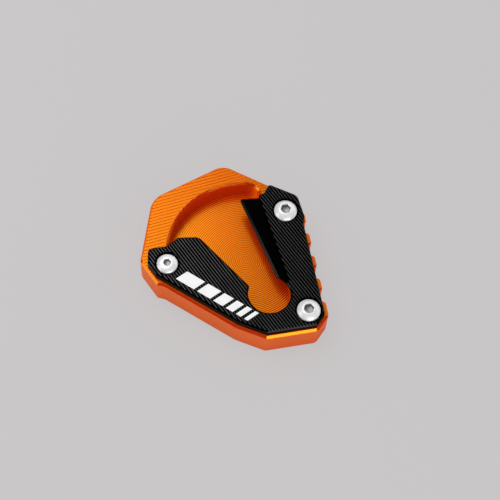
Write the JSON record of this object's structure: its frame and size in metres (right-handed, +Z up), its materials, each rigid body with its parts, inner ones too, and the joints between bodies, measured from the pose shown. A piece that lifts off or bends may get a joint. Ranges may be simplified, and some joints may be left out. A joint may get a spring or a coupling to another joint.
{
  "type": "kickstand foot enlarger",
  "caption": "Flat anodised shoe that clamps round the foot of a motorbike side stand, so that the stand doesn't sink into soft ground.",
  "frame": {"origin": "centre of the base plate's outline, on the ground", "axes": "+Z up from the ground, +Y from the toe of the slot towards the back of the pocket"},
  "size_m": [0.0788, 0.0886, 0.0204],
  "materials": {
    "orange_anodised": "satin anodised, milled in fine ribs",
    "black_anodised": "satin anodised, milled in fine ribs",
    "stainless": "bright"
  },
  "bodies": {
    "root": {"base_plate": "orange_anodised", "clamp_plate": "black_anodised", "clamp_screws": "stainless", "tip_screw": "stainless"}
  },
  "joints": []
}
